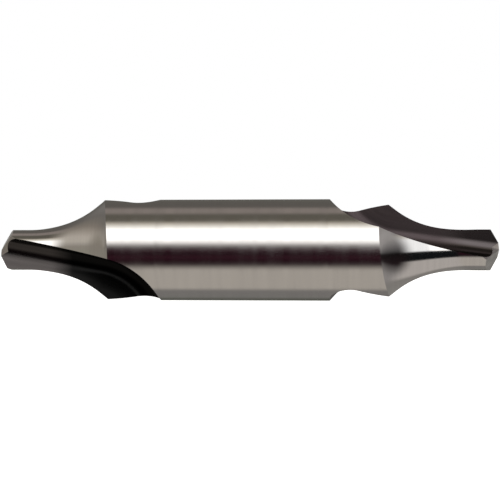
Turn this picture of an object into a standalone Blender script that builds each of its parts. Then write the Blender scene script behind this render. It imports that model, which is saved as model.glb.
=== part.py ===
"""Double-ended centre drill with a radius form, ground all over from one bar of tool steel.

The bar lies along X with its middle at the origin. Both ends are one grind, the second turned end
for end: a point with two flat flanks and a thinned web, a slim pilot, a form arc that rises to the
shank and falls back behind its cutting edge, and two flutes. A grinding wheel travels along each
flute on a slant and lifts out on the shank, where it leaves the curve of its own rim.

Each end is described in its own frame: x runs from the tip into the bar, and an angle is counted
from -Y towards +Z about the bar.
"""
import math

import bmesh
import bpy
from mathutils import Matrix, Vector

MM = 0.001

# Bar
LENGTH = 61.8 * MM
SHANK_DIAMETER = 12.5 * MM
PILOT_DIAMETER = 5.0 * MM
PILOT_LENGTH = 3.48 * MM
FORM_RADIUS = 14.85 * MM
FORM_RELIEF = 1.25 * MM
EDGE_ANGLE_AT_PILOT = math.radians(98.0)
EDGE_ANGLE_AT_SHOULDER = math.radians(80.0)

# Point
POINT_ANGLE = math.radians(118.0)
FLANK_CLEARANCE = math.radians(20.0)

# Thinning of the web at the point: a groove whose bottom edge passes just in front of the tip
THINNING_START = -0.03 * MM
THINNING_LEAN = math.radians(33.9)
THINNING_TURN = math.radians(-17.6)
THINNING_OPENING = math.radians(121.0)

# Grinding wheel of the flutes, and how it is set to the bar
WHEEL_RADIUS = 9.9 * MM
WHEEL_CORNER = 2.05 * MM
WHEEL_HUB = 0.3 * MM
FACE_SIDE_ANGLE = math.radians(-11.7)
HEEL_SIDE_ANGLE = math.radians(84.0)
HALF_WEB = 0.485 * MM
FLUTE_SLANT = math.radians(10.9)
WEB_TAPER = math.radians(10.2)
PLUNGE_ANGLE = math.radians(-87.8)
WHEEL_OFFSET = 0.72 * MM
LIFT_START = 11.4 * MM
LIFT_SWEEP = math.radians(90.0)

# What differs between the two ends: the turn about the bar, and how the wheel is set
LEFT_SPIN = 0.0
RIGHT_SPIN = math.radians(-16.5)
RIGHT_LIFT_DELAY = 0.28 * MM
RIGHT_WHEEL_SHIFT = -0.14 * MM

# How finely the faceted solid is cut, and the corner from which it is shaded sharp
COLUMNS = 96
ARC_STEPS = 14
CORNER_STEPS = 10
LIFT_STEPS = 24
SHARP_CORNER = math.radians(28.0)

SHANK_RADIUS = SHANK_DIAMETER / 2
PILOT_RADIUS = PILOT_DIAMETER / 2
OVERSHOOT = SHANK_DIAMETER / 4
FORM_SWEEP = math.acos(1 - (SHANK_RADIUS - PILOT_RADIUS) / FORM_RADIUS)
BAR_DIRECTION = Vector((1.0, 0.0, 0.0))


def radial(angle):
    """Unit vector across the bar at an angle counted from -Y towards +Z."""
    return Vector((0.0, -math.cos(angle), math.sin(angle)))


class End:
    """One ground end: which way it points, its turn about the bar and how its wheel is set."""

    def __init__(self, name, side, spin, lift_start, offset):
        self.name = name
        self.side = side
        self.spin = spin
        self.lift_start = lift_start
        self.offset = offset

    def frame(self):
        """Matrix from the end's own frame to the bar."""
        turn = Matrix.Rotation(-self.spin, 4, "X")
        if self.side > 0:
            turn = Matrix.Rotation(math.pi, 4, "Y") @ turn
        return Matrix.Translation((self.side * LENGTH / 2, 0.0, 0.0)) @ turn

    def own_angle(self, angle):
        """An angle about the bar, counted in the end's own frame."""
        return -self.side * angle - self.spin


ENDS = (
    End("left", -1, LEFT_SPIN, LIFT_START, WHEEL_OFFSET),
    End("right", 1, RIGHT_SPIN, LIFT_START + RIGHT_LIFT_DELAY, WHEEL_OFFSET + RIGHT_WHEEL_SHIFT),
)


def relief(along_form, own_angle):
    """How far the form has fallen back at an angle: nothing at the edge, most behind it."""
    edge = EDGE_ANGLE_AT_PILOT + (EDGE_ANGLE_AT_SHOULDER - EDGE_ANGLE_AT_PILOT) * along_form
    return FORM_RELIEF * abs(math.sin(edge - own_angle))


def blank_ring(end, x, radius, along_form=None):
    """One ring of the blank round the bar, set back by the relief where it is on the form."""
    ring = []
    for column in range(COLUMNS):
        angle = math.tau * column / COLUMNS
        setback = 0.0 if along_form is None else relief(along_form, end.own_angle(angle))
        along = end.side * (LENGTH / 2 - x - setback)
        ring.append(along * BAR_DIRECTION + radius * radial(angle))
    return ring


def form_rings(end):
    """Rings of the form arc, which leaves the pilot smoothly and ends at the shank."""
    rings = []
    for step in range(ARC_STEPS + 1):
        turn = FORM_SWEEP * step / ARC_STEPS
        x = PILOT_LENGTH + FORM_RADIUS * math.sin(turn)
        radius = PILOT_RADIUS + FORM_RADIUS * (1 - math.cos(turn))
        rings.append(blank_ring(end, x, radius, math.sin(turn) / math.sin(FORM_SWEEP)))
    return rings


def blank_rings():
    """The turned and relieved blank, from beyond one tip to beyond the other."""
    left, right = ([blank_ring(end, -OVERSHOOT, PILOT_RADIUS)] + form_rings(end) for end in ENDS)
    return left + right[::-1]


def wheel_section():
    """The wheel's rim as (across, height): face side, rounded corner, heel side and inner corner."""
    corner_height = WHEEL_RADIUS - WHEEL_CORNER
    start = math.pi - FACE_SIDE_ANGLE
    arc = []
    for step in range(CORNER_STEPS + 1):
        turn = start + (HEEL_SIDE_ANGLE - start) * step / CORNER_STEPS
        arc.append((WHEEL_CORNER * math.cos(turn), corner_height + WHEEL_CORNER * math.sin(turn)))
    depth = arc[0][1] - WHEEL_HUB
    face_end = (arc[0][0] - depth * math.tan(FACE_SIDE_ANGLE), WHEEL_HUB)
    width = SHANK_DIAMETER
    heel_end = (arc[-1][0] + width, arc[-1][1] - width / math.tan(HEEL_SIDE_ANGLE))
    return [face_end] + arc + [heel_end, (heel_end[0], WHEEL_HUB)]


def wheel_path_rings(end):
    """The rim's section along the wheel's path: straight in from the tip, then lifting out."""
    plunge = radial(PLUNGE_ANGLE)
    tangent = plunge.cross(BAR_DIRECTION)
    level = math.cos(FLUTE_SLANT) * BAR_DIRECTION - math.sin(FLUTE_SLANT) * tangent
    axle = math.sin(FLUTE_SLANT) * BAR_DIRECTION + math.cos(FLUTE_SLANT) * tangent
    travel = math.cos(WEB_TAPER) * level + math.sin(WEB_TAPER) * plunge
    outward = math.cos(WEB_TAPER) * plunge - math.sin(WEB_TAPER) * level
    centre = end.lift_start * BAR_DIRECTION + (HALF_WEB + WHEEL_RADIUS) * plunge
    centre += end.offset * tangent
    section = wheel_section()

    def ring(turn, run_in):
        rim = math.sin(turn) * travel - math.cos(turn) * outward
        return [centre + across * axle + height * rim - run_in * travel for across, height in section]

    rings = [ring(0.0, end.lift_start + SHANK_DIAMETER)]
    rings += [ring(LIFT_SWEEP * step / LIFT_STEPS, 0.0) for step in range(LIFT_STEPS + 1)]
    return rings


def thinning_rings():
    """The thinning wheel's rim as a long wedge, whose edge leans back from the tip into the flute."""
    edge = math.cos(THINNING_LEAN) * BAR_DIRECTION + math.sin(THINNING_LEAN) * radial(THINNING_TURN)
    side = radial(THINNING_TURN + math.pi / 2)
    other_side = math.cos(THINNING_OPENING) * side + math.sin(THINNING_OPENING) * edge.cross(side)
    rings = []
    for run in (-SHANK_DIAMETER, SHANK_DIAMETER):
        bottom = THINNING_START * BAR_DIRECTION + run * edge
        rings.append([bottom, bottom + SHANK_DIAMETER * side, bottom + SHANK_DIAMETER * other_side])
    return rings


def add_object(name, mesh):
    """Put a finished bmesh into the scene as an object, smooth with its corners sharp."""
    data = bpy.data.meshes.new(name)
    mesh.to_mesh(data)
    mesh.free()
    data.shade_smooth()
    data.set_sharp_from_angle(angle=SHARP_CORNER)
    piece = bpy.data.objects.new(name, data)
    bpy.context.scene.collection.objects.link(piece)
    return piece


def loft(name, rings):
    """A closed mesh object through rings of points, with flat caps on its two ends."""
    mesh = bmesh.new()
    loops = [[mesh.verts.new(point) for point in ring] for ring in rings]
    count = len(loops[0])
    for near, far in zip(loops, loops[1:]):
        for index in range(count):
            after = (index + 1) % count
            mesh.faces.new((near[index], near[after], far[after], far[index]))
    mesh.faces.new(loops[0][::-1])
    mesh.faces.new(loops[-1])
    bmesh.ops.recalc_face_normals(mesh, faces=mesh.faces)
    return add_object(name, mesh)


def flank_block(name):
    """A block that grinds one flank: its face passes through the tip and falls behind the lip."""
    mesh = bmesh.new()
    size = 4 * PILOT_DIAMETER
    bmesh.ops.create_cube(mesh, size=size)
    bmesh.ops.translate(mesh, vec=-size / 2 * BAR_DIRECTION, verts=mesh.verts)
    slope = 1 / math.tan(POINT_ANGLE / 2)
    outward = Vector((-1.0, math.tan(FLANK_CLEARANCE), -slope)).normalized()
    turn = (-BAR_DIRECTION).rotation_difference(outward).to_matrix()
    bmesh.ops.rotate(mesh, matrix=turn, verts=mesh.verts)
    return add_object(name, mesh)


def cut_from(piece, cutter):
    """Take a cutter's volume out of the piece."""
    cut = piece.modifiers.new(cutter.name, "BOOLEAN")
    cut.operation = "DIFFERENCE"
    cut.solver = "EXACT"
    cut.object = cutter
    cutter.hide_render = True
    cutter.display_type = "WIRE"


def grind_end(drill, end):
    """Grind the flutes and the point of one end."""
    for number, half_turn in enumerate((0.0, math.pi), start=1):
        place = end.frame() @ Matrix.Rotation(half_turn, 4, "X")
        wheel = loft(f"{end.name}_wheel_{number}", wheel_path_rings(end))
        block = flank_block(f"{end.name}_flank_{number}")
        thinning = loft(f"{end.name}_thinning_{number}", thinning_rings())
        for cutter in (wheel, block, thinning):
            cutter.matrix_world = place
            cut_from(drill, cutter)


def tool_steel():
    """Bright ground tool steel."""
    steel = bpy.data.materials.new("ground_tool_steel")
    steel.use_nodes = True
    shader = steel.node_tree.nodes["Principled BSDF"]
    shader.inputs["Base Color"].default_value = (0.60, 0.58, 0.56, 1.0)
    shader.inputs["Metallic"].default_value = 1.0
    shader.inputs["Roughness"].default_value = 0.28
    return steel


def main():
    for leftover in list(bpy.data.objects):
        bpy.data.objects.remove(leftover)
    drill = loft("centre_drill", blank_rings())
    for end in ENDS:
        grind_end(drill, end)
    drill.data.materials.append(tool_steel())


main()
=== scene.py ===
"""Centre drill with a radius form at both ends: its ground surfaces, the studio and the camera.

The drill is one closed mesh made of patches: the lands that are ground round the bar, the flutes
that a wheel leaves, and the flat faces of the points, which are their flanks and the grooves that
thin their webs. Each end is worked out in its own frame: x runs from the tip into the bar, and an
angle is counted from -Y towards +Z about the bar.
"""
import math

import bmesh
import bpy
import numpy as np
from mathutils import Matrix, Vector


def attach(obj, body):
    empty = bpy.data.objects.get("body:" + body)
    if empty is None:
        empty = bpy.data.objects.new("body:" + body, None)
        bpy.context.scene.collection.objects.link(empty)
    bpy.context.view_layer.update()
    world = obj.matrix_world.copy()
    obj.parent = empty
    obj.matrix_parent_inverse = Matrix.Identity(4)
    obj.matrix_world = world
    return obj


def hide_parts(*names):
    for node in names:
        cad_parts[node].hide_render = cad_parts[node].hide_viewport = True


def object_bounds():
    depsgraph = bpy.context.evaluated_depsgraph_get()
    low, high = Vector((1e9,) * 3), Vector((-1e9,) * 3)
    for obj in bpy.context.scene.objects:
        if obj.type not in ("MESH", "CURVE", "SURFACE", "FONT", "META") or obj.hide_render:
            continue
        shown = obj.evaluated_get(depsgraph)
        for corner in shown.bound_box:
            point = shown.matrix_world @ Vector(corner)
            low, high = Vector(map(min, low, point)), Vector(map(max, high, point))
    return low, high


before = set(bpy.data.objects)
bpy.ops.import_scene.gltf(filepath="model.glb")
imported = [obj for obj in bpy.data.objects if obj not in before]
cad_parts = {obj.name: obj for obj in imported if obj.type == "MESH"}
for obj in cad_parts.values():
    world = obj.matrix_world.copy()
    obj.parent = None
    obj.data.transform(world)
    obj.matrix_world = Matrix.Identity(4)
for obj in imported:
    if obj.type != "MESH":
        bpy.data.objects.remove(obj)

MM = 0.001
CAD_LOW, CAD_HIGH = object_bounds()

# Finishes are told between these two stations, in millimetres from the drill's middle
FINISHED_SPAN = (-30, 30)


def evenly(value):
    """The same colour or roughness all along the drill."""
    return tuple((place, value) for place in FINISHED_SPAN)


# Bar
LENGTH = CAD_HIGH.x - CAD_LOW.x
SHANK_RADIUS = (CAD_HIGH.z - CAD_LOW.z) / 2
PILOT_RADIUS = 2.5 * MM
PILOT_LENGTH = 3.48 * MM
FORM_RADIUS = 14.85 * MM
FORM_RELIEF = 1.25 * MM
EDGE_ANGLE_AT_PILOT = math.radians(98.0)
EDGE_ANGLE_AT_SHOULDER = math.radians(80.0)

# Point
POINT_ANGLE = math.radians(118.0)
FLANK_CLEARANCE = math.radians(20.0)

# Thinning of the web at the point: a groove whose bottom edge passes just in front of the tip
THINNING_START = -0.03 * MM
THINNING_LEAN = math.radians(33.9)
THINNING_TURN = math.radians(-17.6)
THINNING_OPENING = math.radians(121.0)

# Grinding wheel of the flutes, and how it is set to the bar
WHEEL_RADIUS = 9.9 * MM
WHEEL_CORNER = 2.05 * MM
FACE_SIDE_ANGLE = math.radians(-11.7)
HEEL_SIDE_ANGLE = math.radians(84.0)
HALF_WEB = 0.485 * MM
FLUTE_SLANT = math.radians(10.9)
WEB_TAPER = math.radians(10.2)
PLUNGE_ANGLE = math.radians(-87.8)
WHEEL_OFFSET = 0.72 * MM
LIFT_START = 11.4 * MM

# What differs between the two ends
LEFT_SPIN = 0.0
RIGHT_SPIN = math.radians(-16.5)
RIGHT_LIFT_DELAY = 0.28 * MM
RIGHT_WHEEL_SHIFT = -0.14 * MM

# How finely the surfaces are laid out
PILOT_ROWS = 24
FORM_ROWS = 56
RUNOUT_ROWS = 56
SHANK_ROWS = 14
LAND_COLUMNS = 60
FLUTE_COLUMNS = 64

# How the flutes' edges are found: at angles spread to both sides of a middle, which are narrowed to
# a few steps round the best one, and then by halving
SEARCH_ANGLES = 91
NARROWINGS = 4
STEPS_KEPT = 3
HALVINGS = 42
RUNOUT_SPREAD = math.radians(60.0)
DEEPEST_ANGLE = math.radians(-50.0)
DEEPEST_SPREAD = math.radians(90.0)
CUT_REACH = math.radians(90.0)
HEEL_REACH = math.radians(110.0)

# How the patches are sewn: the furthest that welded points lie apart, and the sharp corners
WELD = 0.0002 * MM
SHARP_CORNER = math.radians(28.0)

# A plane of the point is (place on the axis, slope along Y, slope along Z)
LOWER_FLANK = np.array([0.0, math.tan(FLANK_CLEARANCE), -1 / math.tan(POINT_ANGLE / 2)])
UPPER_FLANK = -LOWER_FLANK

# How far the form arc turns, where it ends at the shank, and the length over which the rows of the
# shank lose the lean of the form's relief
FORM_SWEEP = math.acos(1 - (SHANK_RADIUS - PILOT_RADIUS) / FORM_RADIUS)
SHOULDER = PILOT_LENGTH + FORM_RADIUS * math.sin(FORM_SWEEP)
FADE_LENGTH = 5.0 * MM

# Turns and directions
HALF_TURN = math.pi
HALF_TURNED = np.array([1.0, -1.0, -1.0])
BAR_DIRECTION = np.array([1.0, 0.0, 0.0])

# Camera, in the photo's own pixels and from its picture of the drill
PICTURE_WIDTH = 500
PIXELS_PER_METRE = 8.079 / MM
MIDDLE_COLUMN = 246.45
MIDDLE_ROW = 249.95
VIEW_DISTANCE = 174 * MM
VIEW_AZIMUTH = math.radians(5.18)
SENSOR = 36.0
SIGHT = (0.001, 10.0)

# White ground
FLOOR_REACH = 2.0
FLOOR_COLOUR = (0.8, 0.8, 0.8, 1.0)
FLOOR_ROUGHNESS = 0.9
WHITE = (1.0, 1.0, 1.0, 1.0)

# Light round the drill by roll angle in degrees: 0 towards the viewer, 90 overhead. The strips are
# beside the drill, with others a little further right. The screens stand beyond its two ends, and
# LEFT_END is straight beyond the left one
HALF_ROLL = 180
STRIPS = (
    (-180, (0.90, 0.88, 0.84)),
    (-170, (0.115, 0.118, 0.10)),
    (-150, (0.115, 0.118, 0.10)),
    (-135, (0.25, 0.24, 0.225)),
    (-106, (0.26, 0.245, 0.235)),
    (-96, (0.56, 0.515, 0.46)),
    (-46, (0.56, 0.515, 0.46)),
    (-33, (0.05, 0.035, 0.036)),
    (-24, (0.020, 0.003, 0.008)),
    (-16, (0.040, 0.010, 0.018)),
    (-9, (0.014, 0.002, 0.005)),
    (-1, (0.038, 0.010, 0.018)),
    (5, (0.11, 0.09, 0.09)),
    (11, (0.45, 0.43, 0.41)),
    (19, (1.6, 1.55, 1.5)),
    (26, (2.2, 2.15, 2.1)),
    (46, (2.2, 2.15, 2.1)),
    (54, (1.27, 1.22, 1.12)),
    (62, (0.66, 0.60, 0.50)),
    (69, (0.15, 0.135, 0.11)),
    (86, (0.145, 0.135, 0.11)),
    (94, (0.33, 0.285, 0.26)),
    (106, (0.33, 0.285, 0.26)),
    (115, (0.155, 0.142, 0.128)),
    (168, (0.14, 0.135, 0.12)),
    (180, (0.90, 0.88, 0.84)),
)
RIGHT_STRIPS = (
    (-180, (0.33, 0.32, 0.30)),
    (-140, (0.33, 0.32, 0.30)),
    (-106, (0.31, 0.29, 0.27)),
    (-96, (0.61, 0.565, 0.53)),
    (-42, (0.61, 0.565, 0.53)),
    (-36, (0.008, 0.009, 0.010)),
    (-4, (0.008, 0.009, 0.010)),
    (2, (2.2, 2.15, 2.1)),
    (46, (2.2, 2.15, 2.1)),
    (62, (0.66, 0.60, 0.50)),
    (69, (0.10, 0.08, 0.08)),
    (115, (0.09, 0.08, 0.08)),
    (180, (0.33, 0.32, 0.30)),
)
LEFT_SCREEN = (
    (-180, (0.28, 0.255, 0.22)),
    (-60, (0.36, 0.33, 0.28)),
    (-5, (0.37, 0.345, 0.29)),
    (15, (0.385, 0.35, 0.30)),
    (28, (0.52, 0.475, 0.42)),
    (40, (0.65, 0.60, 0.52)),
    (62, (0.64, 0.58, 0.51)),
    (85, (0.47, 0.42, 0.36)),
    (103, (0.32, 0.28, 0.24)),
    (117, (0.26, 0.235, 0.205)),
    (132, (0.21, 0.195, 0.18)),
    (155, (0.28, 0.265, 0.25)),
    (180, (0.28, 0.255, 0.22)),
)
LEFT_END = (
    (-180, (0.28, 0.255, 0.22)),
    (-60, (0.34, 0.31, 0.265)),
    (31, (0.335, 0.30, 0.255)),
    (72, (0.37, 0.335, 0.28)),
    (100, (0.44, 0.40, 0.35)),
    (121, (0.35, 0.32, 0.28)),
    (140, (0.27, 0.245, 0.215)),
    (180, (0.28, 0.255, 0.22)),
)
RIGHT_SCREEN = (
    (-180, (0.28, 0.26, 0.24)),
    (-127, (0.28, 0.265, 0.25)),
    (-100, (0.39, 0.365, 0.355)),
    (-86, (0.33, 0.31, 0.30)),
    (-72, (0.19, 0.175, 0.17)),
    (-58, (0.09, 0.08, 0.08)),
    (-48, (0.020, 0.012, 0.014)),
    (-3, (0.010, 0.008, 0.008)),
    (8, (0.09, 0.085, 0.086)),
    (23, (0.18, 0.17, 0.17)),
    (43, (0.31, 0.295, 0.29)),
    (58, (0.43, 0.405, 0.395)),
    (80, (0.48, 0.455, 0.445)),
    (115, (0.30, 0.28, 0.27)),
    (180, (0.28, 0.26, 0.24)),
)

# The right strips' far part, no brighter than this, so that the drill stands out from the white
# ground when it is seen from behind
FAR_BRIGHTEST = 1.4
RIGHT_FAR_STRIPS = tuple((roll, tuple(min(level, FAR_BRIGHTEST) for level in colour))
                         for roll, colour in RIGHT_STRIPS)

# Where each of these takes over from the light before it, as the sight's share along the bar
TAKEOVERS = (
    ((-0.40, -0.71), LEFT_SCREEN),
    ((-0.90, -0.99), LEFT_END),
    ((0.04, 0.16), RIGHT_STRIPS),
    ((0.44, 0.58), RIGHT_FAR_STRIPS),
    ((0.72, 0.90), RIGHT_SCREEN),
)

# Colour and roughness of the ground steel, by station along the drill in millimetres from its
# middle. The flutes' colour is painted shade, standing for the dark reflections in them: it is
# darkest where the left ones run out, and brighter towards the points
FLUTE_PAINTED_SHADE = (
    (-30, (0.058, 0.053, 0.052)),
    (-24.5, (0.058, 0.053, 0.052)),
    (-22, (0.007, 0.007, 0.007)),
    (0, (0.007, 0.007, 0.007)),
    (1, (0.074, 0.060, 0.064)),
    (23.5, (0.074, 0.060, 0.064)),
    (27, (0.088, 0.078, 0.080)),
    (30, (0.088, 0.078, 0.080)),
)
FLUTE_ROUGHNESS = ((-30, 0.20), (0, 0.20), (1, 0.32), (23.5, 0.32), (27, 0.13), (30, 0.13))

# Finishes of the ground steel: name, colour, roughness, what the grinding lines follow, how many
# lines and streaks there are to the metre each way, how deep the lines are and how dark the streaks
SHANK, FORM, FLUTE, FLANK, THINNED = range(5)
FINISHES = (
    ("ground_shank", evenly((0.62, 0.61, 0.60)), evenly(0.13),
     "Object", (26000, 500, 500), (900, 60, 60), 0.00012 * MM, 0.06),
    ("ground_form", evenly((0.62, 0.61, 0.60)), evenly(0.08),
     "Object", (20000, 300, 300), (2500, 50, 50), 0.00015 * MM, 0.06),
    # The flutes' colour below is painted shade, set by station along the drill
    ("ground_flutes_painted_shade", FLUTE_PAINTED_SHADE, FLUTE_ROUGHNESS,
     "UV", (400, 12000, 1), (60, 1500, 1), 0.0005 * MM, 0.25),
    ("ground_flanks", evenly((0.60, 0.59, 0.58)), evenly(0.26),
     "Object", (2000, 9000, 9000), (300, 1400, 1400), 0.0006 * MM, 0.2),
    ("thinned_web", evenly((0.52, 0.50, 0.49)), evenly(0.30),
     "Object", (9000, 2000, 9000), (1400, 300, 1400), 0.0006 * MM, 0.2),
)
LINE_DETAIL = 3.0
NOISE_MIDDLE = (0.3, 0.7)
ROUGHER_SHARE = 1.5


def radial(angle):
    """Unit vectors across the bar: (0, -cos angle, sin angle)."""
    angle = np.asarray(angle, float)
    return np.stack([np.zeros_like(angle), -np.cos(angle), np.sin(angle)], axis=-1)


def station(plane, points):
    """How far along the bar a plane lies beside points: place + slope y + slope z."""
    return plane[0] + plane[1] * points[..., 1] + plane[2] * points[..., 2]


def thinning_sides():
    """Floor and wall of the thinning groove: planes through its bottom edge, which leans back from
    the tip, each square to edge x side, where side lies in the plane and across the edge."""
    edge = math.cos(THINNING_LEAN) * BAR_DIRECTION + math.sin(THINNING_LEAN) * radial(THINNING_TURN)
    side = radial(THINNING_TURN + math.pi / 2)
    other_side = math.cos(THINNING_OPENING) * side + math.sin(THINNING_OPENING) * np.cross(edge, side)
    normals = np.cross(edge, side), np.cross(edge, other_side)
    return [np.array([THINNING_START, -normal[1] / normal[0], -normal[2] / normal[0]])
            for normal in normals]


FLOOR, WALL = thinning_sides()


def ground_tip(points):
    """Where the point is ground beside points: the furthest back of its two flanks and its two
    grooves, and in a groove the foremost of its floor and its wall."""
    near, far = (np.minimum(station(FLOOR * turned, points), station(WALL * turned, points))
                 for turned in (np.ones(3), HALF_TURNED))
    return np.maximum(np.abs(station(LOWER_FLANK, points)), np.maximum(near, far))


def meeting_point(*planes):
    """The point that lies in three planes of the point."""
    places, *slopes = np.array(planes).T
    return np.linalg.solve(np.stack([np.ones(3), -slopes[0], -slopes[1]], axis=-1), places)


def shares(count, *fixed):
    """Shares from 0 to 1 in count steps, nearly even, with the fixed ones among them, and their
    numbers: the fixed shares are put at the nearest whole steps and the rest spread between."""
    stops = np.array([0.0, *fixed, 1.0])
    numbers = np.round(stops * count).astype(int)
    return np.interp(np.arange(count + 1), numbers, stops), numbers[1:-1]


def halved(low, high, before):
    """The value between low and high up to which before(value) holds, found by halving."""
    for _ in range(HALVINGS):
        half = (low + high) / 2
        low, high = (half, high) if before(half) else (low, half)
    return (low + high) / 2


def smooth(share):
    """A share from 0 to 1 that starts and ends gently: 3 s^2 - 2 s^3."""
    share = np.clip(share, 0.0, 1.0)
    return share * share * (3 - 2 * share)


class Wheel:
    """The wheel of one end's flutes. A spot on its ground surface is (run, around): run is the
    length along its path, negative on the straight travel and then along the rim as it lifts out,
    and around is the length across its rim, from 0 where the face side meets the corner."""

    def __init__(self, lift_start, offset):
        plunge = radial(PLUNGE_ANGLE)
        tangent = np.array([0.0, math.sin(PLUNGE_ANGLE), math.cos(PLUNGE_ANGLE)])
        level = math.cos(FLUTE_SLANT) * BAR_DIRECTION - math.sin(FLUTE_SLANT) * tangent
        self.axle = math.sin(FLUTE_SLANT) * BAR_DIRECTION + math.cos(FLUTE_SLANT) * tangent
        self.travel = math.cos(WEB_TAPER) * level + math.sin(WEB_TAPER) * plunge
        self.outward = math.cos(WEB_TAPER) * plunge - math.sin(WEB_TAPER) * level
        self.centre = lift_start * BAR_DIRECTION + (HALF_WEB + WHEEL_RADIUS) * plunge
        self.centre = self.centre + offset * tangent
        self.corner_height = WHEEL_RADIUS - WHEEL_CORNER
        self.corner_sweep = math.pi - FACE_SIDE_ANGLE - HEEL_SIDE_ANGLE

    def section(self, points):
        """Across the wheel, above the corner's centre, and along its path, of points."""
        away = points - self.centre
        along = away @ self.travel
        depth = -(away @ self.outward)
        height = np.where(along < 0, depth, np.hypot(along, depth))
        run = np.where(along < 0, along, WHEEL_RADIUS * np.arctan2(along, depth))
        return away @ self.axle, height - self.corner_height, run

    def beyond_tangents(self, across, height):
        """How far past the corner's two tangent points a spot lies, along each straight side."""
        face = -across * math.sin(FACE_SIDE_ANGLE) - height * math.cos(FACE_SIDE_ANGLE)
        heel = across * math.sin(HEEL_SIDE_ANGLE) - height * math.cos(HEEL_SIDE_ANGLE)
        return face, heel

    def from_face(self, across, height):
        """Distance in front of the face side's plane through the corner's centre."""
        return -across * math.cos(FACE_SIDE_ANGLE) + height * math.sin(FACE_SIDE_ANGLE)

    def clearance(self, points):
        """Distance from the wheel's surface, negative inside the wheel."""
        across, height, _ = self.section(points)
        face, heel = self.beyond_tangents(across, height)
        from_heel = across * math.cos(HEEL_SIDE_ANGLE) + height * math.sin(HEEL_SIDE_ANGLE)
        from_face = self.from_face(across, height)
        at_corner = (face < 0) & (heel < 0)
        off = np.where(at_corner, np.hypot(across, height), np.maximum(from_face, from_heel))
        return off - WHEEL_CORNER

    def spot(self, points):
        """(run, around) of points on the wheel's surface."""
        across, height, run = self.section(points)
        face, heel = self.beyond_tangents(across, height)
        turned = np.arctan2(-face, self.from_face(across, height))
        around = WHEEL_CORNER * np.clip(turned, 0.0, self.corner_sweep)
        around = np.where(face > 0, -face, around)
        return run, np.where(heel > 0, WHEEL_CORNER * self.corner_sweep + heel, around)

    def surface(self, run, around):
        """Points at (run, around): the rim's section, slid along the travel or turned round the axle."""
        turned = np.clip(around / WHEEL_CORNER, 0.0, self.corner_sweep)
        normal = math.pi - FACE_SIDE_ANGLE - turned
        on_face = np.minimum(around, 0.0)
        on_heel = np.maximum(around - WHEEL_CORNER * self.corner_sweep, 0.0)
        across = (WHEEL_CORNER * np.cos(normal) + on_face * math.sin(FACE_SIDE_ANGLE)
                  + on_heel * math.sin(HEEL_SIDE_ANGLE))
        height = (self.corner_height + WHEEL_CORNER * np.sin(normal)
                  + on_face * math.cos(FACE_SIDE_ANGLE) - on_heel * math.cos(HEEL_SIDE_ANGLE))
        turn = np.maximum(run, 0.0) / WHEEL_RADIUS
        slide = np.minimum(run, 0.0)
        rim = np.sin(turn)[..., None] * self.travel - np.cos(turn)[..., None] * self.outward
        return (self.centre + across[..., None] * self.axle + height[..., None] * rim
                + slide[..., None] * self.travel)

    def run_at(self, plane, around):
        """Run at which the surface meets a plane that crosses its straight travel."""
        start = self.surface(np.zeros_like(around), around)
        rate = self.travel[0] - plane[1] * self.travel[1] - plane[2] * self.travel[2]
        return (station(plane, start) - start[..., 0]) / rate

    def run_at_tip(self, around):
        """Run at which the surface starts, behind the flanks and the thinning groove."""
        lower, upper, floor, wall = (self.run_at(plane, around)
                                     for plane in (LOWER_FLANK, UPPER_FLANK, FLOOR, WALL))
        return np.maximum(np.maximum(lower, upper), np.minimum(floor, wall))

    def later(self, plane, other):
        """A test of places round the rim: whether the surface meets one plane later than another."""
        return lambda around: self.run_at(plane, np.array(around)) > self.run_at(other, np.array(around))


class Blank:
    """The ground bar of one end, before its flutes, as rows of stations along it."""

    def __init__(self, runout_end):
        pilot = np.linspace(0.0, 1.0, PILOT_ROWS, endpoint=False)
        form = np.linspace(0.0, FORM_SWEEP, FORM_ROWS, endpoint=False)
        closing = 1 - (1 - np.linspace(0.0, 1.0, RUNOUT_ROWS)) ** 2
        runout = SHOULDER + (runout_end - SHOULDER) * closing
        shank = np.linspace(runout_end, LENGTH / 2, SHANK_ROWS + 1)[1:]
        self.settled = np.concatenate([pilot, np.ones(FORM_ROWS + RUNOUT_ROWS + SHANK_ROWS)])
        self.x = np.concatenate([np.full(PILOT_ROWS, PILOT_LENGTH),
                                 PILOT_LENGTH + FORM_RADIUS * np.sin(form), runout, shank])
        self.radius = np.concatenate([np.full(PILOT_ROWS, PILOT_RADIUS),
                                      PILOT_RADIUS + FORM_RADIUS * (1 - np.cos(form)),
                                      np.full(RUNOUT_ROWS + SHANK_ROWS, SHANK_RADIUS)])
        self.lean = 1 - smooth((self.x - SHOULDER) / FADE_LENGTH)
        share = np.clip((self.x - PILOT_LENGTH) / (SHOULDER - PILOT_LENGTH), 0.0, 1.0)
        self.edge_angle = EDGE_ANGLE_AT_PILOT + (EDGE_ANGLE_AT_SHOULDER - EDGE_ANGLE_AT_PILOT) * share
        self.first_shank_row = PILOT_ROWS + FORM_ROWS
        self.tip_row = self.first_shank_row + RUNOUT_ROWS - 1

    def points(self, rows, angle):
        """Points of the bar in some rows, at angles (rows, ...). The form leans back behind its
        cutting edge by relief times |sin(edge angle - angle)|, and the pilot starts at the point."""
        shape = (len(rows),) + (1,) * (np.ndim(angle) - 1)
        settled, x, radius, lean, edge_angle = (
            values[rows].reshape(shape)
            for values in (self.settled, self.x, self.radius, self.lean, self.edge_angle))
        across = radius[..., None] * radial(angle)
        relief = FORM_RELIEF * np.abs(np.sin(edge_angle - angle))
        across[..., 0] = (1 - settled) * ground_tip(across) + settled * (x + lean * relief)
        return across


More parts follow.
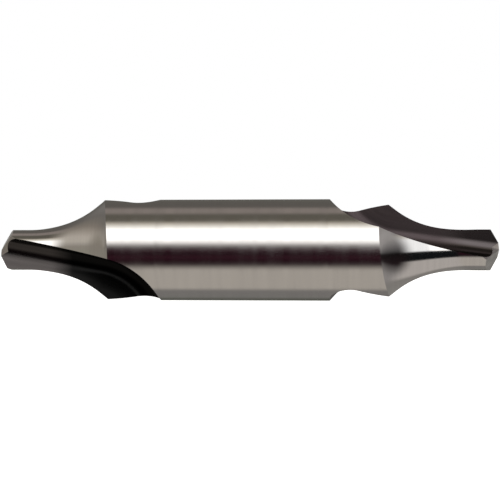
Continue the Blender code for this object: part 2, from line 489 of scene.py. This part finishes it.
def runout_tip(wheel):
    """Where the flute ends on the shank: the station and angle at which the wheel reaches furthest.
    At each angle the station is halved in on, and the angles are narrowed round the furthest."""
    middle, spread = PLUNGE_ANGLE, RUNOUT_SPREAD
    for _ in range(NARROWINGS):
        angle = middle + np.linspace(-spread, spread, SEARCH_ANGLES)
        across = SHANK_RADIUS * radial(angle)
        near, far = np.full(angle.shape, SHOULDER), np.full(angle.shape, LENGTH / 2)
        for _ in range(HALVINGS):
            half = (near + far) / 2
            inside = wheel.clearance(across + half[:, None] * BAR_DIRECTION) < 0
            near, far = np.where(inside, half, near), np.where(inside, far, half)
        furthest = np.argmax(near)
        middle = angle[furthest]
        spread = STEPS_KEPT * spread / SEARCH_ANGLES
    return near[furthest], middle


def flute_edges(wheel, blank):
    """Angles of the flute's cutting edge and heel edge in each row before its tip."""
    rows = np.arange(blank.tip_row)
    middle, spread = np.full((len(rows), 1), DEEPEST_ANGLE), DEEPEST_SPREAD
    for _ in range(NARROWINGS):
        angle = middle + np.linspace(-spread, spread, SEARCH_ANGLES)
        deepest = np.argmin(wheel.clearance(blank.points(rows, angle)), axis=1)
        middle = np.take_along_axis(angle, deepest[:, None], axis=1)
        spread = STEPS_KEPT * spread / SEARCH_ANGLES
    edges = []
    for reach in (-CUT_REACH, HEEL_REACH):
        inner, outer = middle[:, 0], middle[:, 0] + reach
        for _ in range(HALVINGS):
            half = (inner + outer) / 2
            inside = wheel.clearance(blank.points(rows, half)) < 0
            inner, outer = np.where(inside, half, inner), np.where(inside, outer, half)
        edges.append((inner + outer) / 2)
    return edges


def flute_patch(wheel, blank, cut, heel):
    """Grid of the flute from its cutting edge to its heel edge. Between the edges a spot's place
    round the rim and its run along the path change evenly, and in front the grid starts at the
    point. The columns at the two ends of the groove's wall are given too."""
    rows = np.arange(blank.tip_row + 1)
    cut_points, heel_points = blank.points(rows, cut), blank.points(rows, heel)
    run_cut, around_cut = wheel.spot(cut_points)
    run_heel, around_heel = wheel.spot(heel_points)
    low, high = around_cut[0], around_heel[0]
    wall_start = halved(low, high, wheel.later(LOWER_FLANK, WALL))
    wall_end = halved(wall_start, high, wheel.later(FLOOR, WALL))
    wall_ends = ((place - low) / (high - low) for place in (wall_start, wall_end))
    share, columns = shares(FLUTE_COLUMNS, *wall_ends)
    around = around_cut[:, None] + share * (around_heel - around_cut)[:, None]
    run = run_cut[:, None] + share * (run_heel - run_cut)[:, None]
    run = run + (1 - blank.settled[rows])[:, None] * (wheel.run_at_tip(around[0]) - run[0])
    grid = wheel.surface(run, around)
    grid[:, 0], grid[:, -1] = cut_points, heel_points
    return grid, np.stack([run, around], axis=-1), columns


def land_patch(blank, cut, heel, seam_turn):
    """Grid of the land from one flute's heel edge to the next one's cutting edge. Past the flutes
    its two sides meet the other land, and it turns by seam_turn up to the middle of the shank. The
    column that starts where the thinning groove meets the flank is given too."""
    count = len(blank.x)
    start, stop = np.empty(count), np.empty(count)
    ahead = blank.tip_row + 1
    start[:ahead], stop[:ahead] = heel, cut + HALF_TURN
    past = smooth((blank.x[ahead:] - blank.x[ahead - 1]) / (LENGTH / 2 - blank.x[ahead - 1]))
    start[ahead:] = heel[-1] + seam_turn * past
    stop[ahead:] = start[ahead:] + HALF_TURN
    groove_end = halved(start[0], stop[0], lambda angle: station(FLOOR, PILOT_RADIUS * radial(angle))
                        > station(UPPER_FLANK, PILOT_RADIUS * radial(angle)))
    share, columns = shares(LAND_COLUMNS, (groove_end - start[0]) / (stop[0] - start[0]))
    angle = start[:, None] + share * (stop - start)[:, None]
    grid = blank.points(np.arange(count), angle)
    return grid, np.stack([SHANK_RADIUS * angle, grid[..., 0]], axis=-1), columns[0]


def point_facets(flute_front, land_front, wall_start, wall_end, groove_end):
    """The flat faces of the point on the side of one flute: the flank behind the upper lip, and the
    floor and the wall of the thinning groove, as outlines through the corners where planes meet."""
    chisel = meeting_point(LOWER_FLANK, UPPER_FLANK, WALL)
    bottom = meeting_point(FLOOR, UPPER_FLANK, WALL)
    lip = flute_front[1:wall_start + 1] * HALF_TURNED
    flank = np.concatenate([land_front[groove_end:], lip, [chisel * HALF_TURNED, chisel, bottom]])
    floor = np.concatenate([[bottom], flute_front[wall_end:], land_front[1:groove_end + 1]])
    wall = np.concatenate([[bottom, chisel], flute_front[wall_start:wall_end + 1]])
    return (flank, FLANK), (floor, THINNED), (wall, THINNED)


class End:
    """One ground end of the drill: which way it points, its turn about the bar and its wheel."""

    def __init__(self, side, spin, wheel):
        self.side = side
        self.spin = spin
        self.wheel = wheel
        runout_end, self.tip_angle = runout_tip(self.wheel)
        self.blank = Blank(runout_end)

    def seam(self):
        """Angle about the whole bar of the seam that leaves its lower flute."""
        if self.side < 0:
            return self.tip_angle + self.spin
        return -self.tip_angle - self.spin - HALF_TURN

    def place(self, points):
        """Points of the end's own frame set in the bar: turned about it, and end for end on the right."""
        turn = math.cos(self.spin), math.sin(self.spin)
        y = points[..., 1] * turn[0] + points[..., 2] * turn[1]
        z = points[..., 2] * turn[0] - points[..., 1] * turn[1]
        return np.stack([self.side * (LENGTH / 2 - points[..., 0]), y, -self.side * z], axis=-1)

    def patches(self, seam_turn):
        """The end's flutes, lands and flat faces: (points, lay, finish of each row of faces)."""
        blank = self.blank
        cut, heel = (np.append(edge, self.tip_angle) for edge in flute_edges(self.wheel, blank))
        flute, flute_lay, wall_ends = flute_patch(self.wheel, blank, cut, heel)
        land, land_lay, groove_end = land_patch(blank, cut, heel, seam_turn)
        land_finish = np.where(np.arange(len(land) - 1) < blank.first_shank_row, FORM, SHANK)
        facets = point_facets(flute[0], land[0], *wall_ends, groove_end)
        made = []
        for turned in (np.ones(3), HALF_TURNED):
            made.append((self.place(flute * turned), flute_lay, np.full(len(flute) - 1, FLUTE)))
            made.append((self.place(land * turned), land_lay, land_finish))
            made += [(self.place(facet * turned), facet[:, 1:], finish) for facet, finish in facets]
        return made


def grid_faces(rows, columns, first):
    """Corner numbers of the quads of a grid whose points are numbered row by row from first."""
    corner = first + np.arange(rows * columns).reshape(rows, columns)
    near, far = corner[:-1], corner[1:]
    return np.stack([near[:, :-1], far[:, :-1], far[:, 1:], near[:, 1:]], axis=-1).reshape(-1, 4)


def sewn_mesh(name, patches):
    """One closed mesh of all patches, welded where their edges meet, sharp at the ground corners."""
    points, faces, finishes, lays = [], [], [], []
    first = 0
    for grid, lay, finish in patches:
        if grid.ndim == 3:
            rows, columns = grid.shape[:2]
            quads = grid_faces(rows, columns, first)
            faces += quads.tolist()
            finishes += np.repeat(finish, columns - 1).tolist()
            lays.append(lay.reshape(-1, 2)[quads.ravel() - first])
        else:
            faces.append(list(range(first, first + len(grid))))
            finishes.append(finish)
            lays.append(lay)
        points.append(grid.reshape(-1, 3))
        first += len(points[-1])
    data = bpy.data.meshes.new(name)
    data.from_pydata(np.concatenate(points).tolist(), [], faces)
    data.polygons.foreach_set("material_index", finishes)
    data.uv_layers.new(name="lay").data.foreach_set("uv", np.concatenate(lays).ravel())
    mesh = bmesh.new()
    mesh.from_mesh(data)
    bmesh.ops.remove_doubles(mesh, verts=mesh.verts, dist=WELD)
    bmesh.ops.recalc_face_normals(mesh, faces=mesh.faces)
    mesh.to_mesh(data)
    mesh.free()
    data.shade_smooth()
    data.set_sharp_from_angle(angle=SHARP_CORNER)
    return data


def link(name, data):
    """An object of this data in the scene."""
    thing = bpy.data.objects.new(name, data)
    bpy.context.scene.collection.objects.link(thing)
    return thing


def ground_drill():
    """The whole drill, sewn from its two ends, whose lands meet in the middle of the shank."""
    left = End(-1, LEFT_SPIN, Wheel(LIFT_START, WHEEL_OFFSET))
    right = End(1, RIGHT_SPIN, Wheel(LIFT_START + RIGHT_LIFT_DELAY, WHEEL_OFFSET + RIGHT_WHEEL_SHIFT))
    meeting = (left.seam() + right.seam()) / 2
    patches = left.patches(meeting - left.seam()) + right.patches(right.seam() - meeting)
    return link("ground_drill", sewn_mesh("ground_drill", patches))


def shader_nodes(tree, *kinds):
    """New nodes of these kinds in a tree."""
    return [tree.nodes.new("ShaderNode" + kind) for kind in kinds]


def lines(tree, place, density):
    """Fine lines: a noise that changes quickly across them and slowly along them."""
    stretch, noise = shader_nodes(tree, "Mapping", "TexNoise")
    stretch.inputs["Scale"].default_value = density
    noise.inputs["Scale"].default_value = 1.0
    noise.inputs["Detail"].default_value = LINE_DETAIL
    tree.links.new(place, stretch.inputs["Vector"])
    tree.links.new(stretch.outputs["Vector"], noise.inputs["Vector"])
    return noise.outputs["Fac"]


def remapped(tree, value, low, high):
    """A noise value's middle range mapped to low and high."""
    node, = shader_nodes(tree, "MapRange")
    node.inputs["From Min"].default_value, node.inputs["From Max"].default_value = NOISE_MIDDLE
    node.inputs["To Min"].default_value = low
    node.inputs["To Max"].default_value = high
    tree.links.new(value, node.inputs["Value"])
    return node.outputs["Result"]


def shaded(tree, share, low, high, stops):
    """Colour at a share of the way from low to high, told by stops of (value, colour), of which the
    first lies at low and the last at high."""
    ramp, = shader_nodes(tree, "ValToRGB")
    tree.links.new(share, ramp.inputs["Fac"])
    shades = ramp.color_ramp.elements
    for shade, (_, colour) in zip(shades, (stops[0], stops[-1])):
        shade.color = (*colour, 1.0)
    for value, colour in stops[1:-1]:
        shades.new((value - low) / (high - low)).color = (*colour, 1.0)
    return ramp.outputs["Color"]


def share_of_way(tree, value, low, high):
    """How far a value is on its way from low to high, from 0 to 1."""
    node, = shader_nodes(tree, "MapRange")
    node.inputs["From Min"].default_value = low
    node.inputs["From Max"].default_value = high
    tree.links.new(value, node.inputs["Value"])
    return node.outputs["Result"]


def along_drill(tree, x, stops):
    """A finish's colour or roughness at a place x along the drill, from stops of (mm, value)."""
    low, high = stops[0][0], stops[-1][0]
    stops = [(place, value if isinstance(value, tuple) else (value, value, value))
             for place, value in stops]
    return shaded(tree, share_of_way(tree, x, low * MM, high * MM), low, high, stops)


def ground_steel(name, colour, roughness, follow, line_density, streak_density, depth, darkness):
    """Steel with the fine lines of a grinding wheel, which spread its reflections across them, and
    with wider streaks that are a little darker and rougher."""
    material = bpy.data.materials.new(name)
    material.use_nodes = True
    tree = material.node_tree
    shader = tree.nodes["Principled BSDF"]
    shader.inputs["Metallic"].default_value = 1.0
    place, split, relief, tint, dulled = shader_nodes(
        tree, "TexCoord", "SeparateXYZ", "Bump", "Mix", "Math")
    join = tree.links.new
    join(place.outputs["Object"], split.inputs[0])
    where = place.outputs[follow]
    streaks = lines(tree, where, streak_density)
    relief.inputs["Distance"].default_value = depth
    join(lines(tree, where, line_density), relief.inputs["Height"])
    join(relief.outputs["Normal"], shader.inputs["Normal"])
    tint.data_type = "RGBA"
    tint.blend_type = "MULTIPLY"
    # For the flutes this colour along the drill is painted shade
    join(along_drill(tree, split.outputs["X"], colour), tint.inputs["A"])
    tint.inputs["B"].default_value = (1 - darkness, 1 - darkness, 1 - darkness, 1.0)
    join(remapped(tree, streaks, 0.0, 1.0), tint.inputs["Factor"])
    join(tint.outputs["Result"], shader.inputs["Base Color"])
    dulled.operation = "MULTIPLY"
    join(remapped(tree, streaks, 1.0, ROUGHER_SHARE), dulled.inputs[0])
    join(along_drill(tree, split.outputs["X"], roughness), dulled.inputs[1])
    join(dulled.outputs[0], shader.inputs["Roughness"])
    return material


def camera():
    """The photo's camera: level, a little to the right of square, and looking at the drill's middle."""
    lens = bpy.data.cameras.new("camera")
    lens.sensor_width = SENSOR
    lens.lens = SENSOR * PIXELS_PER_METRE * VIEW_DISTANCE / PICTURE_WIDTH
    lens.clip_start, lens.clip_end = SIGHT
    viewer = link("camera", lens)
    place = Vector((math.sin(VIEW_AZIMUTH), -math.cos(VIEW_AZIMUTH), 0.0)) * VIEW_DISTANCE
    aim = Vector(((PICTURE_WIDTH / 2 - MIDDLE_COLUMN) / PIXELS_PER_METRE, 0.0,
                  (MIDDLE_ROW - PICTURE_WIDTH / 2) / PIXELS_PER_METRE))
    viewer.location = place
    viewer.rotation_euler = (aim - place).to_track_quat("-Z", "Y").to_euler()
    bpy.context.scene.camera = viewer


def beyond(tree, along, edge, light, screen):
    """Light that gives way to a screen past an edge, told by the sight's share along the bar."""
    fade, blend = shader_nodes(tree, "MapRange", "Mix")
    fade.interpolation_type = "SMOOTHSTEP"
    fade.inputs["From Min"].default_value, fade.inputs["From Max"].default_value = edge
    blend.data_type = "RGBA"
    tree.links.new(along, fade.inputs["Value"])
    tree.links.new(fade.outputs["Result"], blend.inputs["Factor"])
    tree.links.new(light, blend.inputs["A"])
    tree.links.new(screen, blend.inputs["B"])
    return blend.outputs["Result"]


def studio():
    """The light round the drill: strips along it, told by their roll angle about the bar, and
    screens beyond its ends. The camera itself sees plain white."""
    world = bpy.data.worlds.new("studio")
    world.use_nodes = True
    bpy.context.scene.world = world
    tree = world.node_tree
    sight, split, forward, roll, path, seen = shader_nodes(
        tree, "TexCoord", "SeparateXYZ", "Math", "Math", "LightPath", "Mix")
    join = tree.links.new
    join(sight.outputs["Generated"], split.inputs[0])
    forward.operation = "MULTIPLY"
    forward.inputs[1].default_value = -1.0
    join(split.outputs["Y"], forward.inputs[0])
    roll.operation = "ARCTAN2"
    join(split.outputs["Z"], roll.inputs[0])
    join(forward.outputs[0], roll.inputs[1])
    turn = share_of_way(tree, roll.outputs[0], -math.pi, math.pi)
    light = shaded(tree, turn, -HALF_ROLL, HALF_ROLL, STRIPS)
    for edge, stops in TAKEOVERS:
        screen = shaded(tree, turn, -HALF_ROLL, HALF_ROLL, stops)
        light = beyond(tree, split.outputs["X"], edge, light, screen)
    seen.data_type = "RGBA"
    seen.inputs["B"].default_value = WHITE
    join(path.outputs["Is Camera Ray"], seen.inputs["Factor"])
    join(light, seen.inputs["A"])
    join(seen.outputs["Result"], tree.nodes["Background"].inputs["Color"])


def pale_floor():
    """The white ground that the drill lies on."""
    data = bpy.data.meshes.new("pale_floor")
    level = CAD_LOW.z
    corners = [(x * FLOOR_REACH, y * FLOOR_REACH, level)
               for x, y in ((-1, -1), (1, -1), (1, 1), (-1, 1))]
    data.from_pydata(corners, [], [(0, 1, 2, 3)])
    floor = link("pale_floor", data)
    material = bpy.data.materials.new("white_ground")
    material.use_nodes = True
    shader = material.node_tree.nodes["Principled BSDF"]
    shader.inputs["Base Color"].default_value = FLOOR_COLOUR
    shader.inputs["Roughness"].default_value = FLOOR_ROUGHNESS
    shader.inputs["Emission Color"].default_value = WHITE
    shader.inputs["Emission Strength"].default_value = 1.0
    data.materials.append(material)
    floor.visible_glossy = False
    floor.visible_diffuse = False


bpy.context.scene.view_settings.view_transform = "Standard"
camera()
studio()
pale_floor()
drill = ground_drill()
for finish in FINISHES:
    drill.data.materials.append(ground_steel(*finish))
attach(drill, "root")
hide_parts("centre_drill")
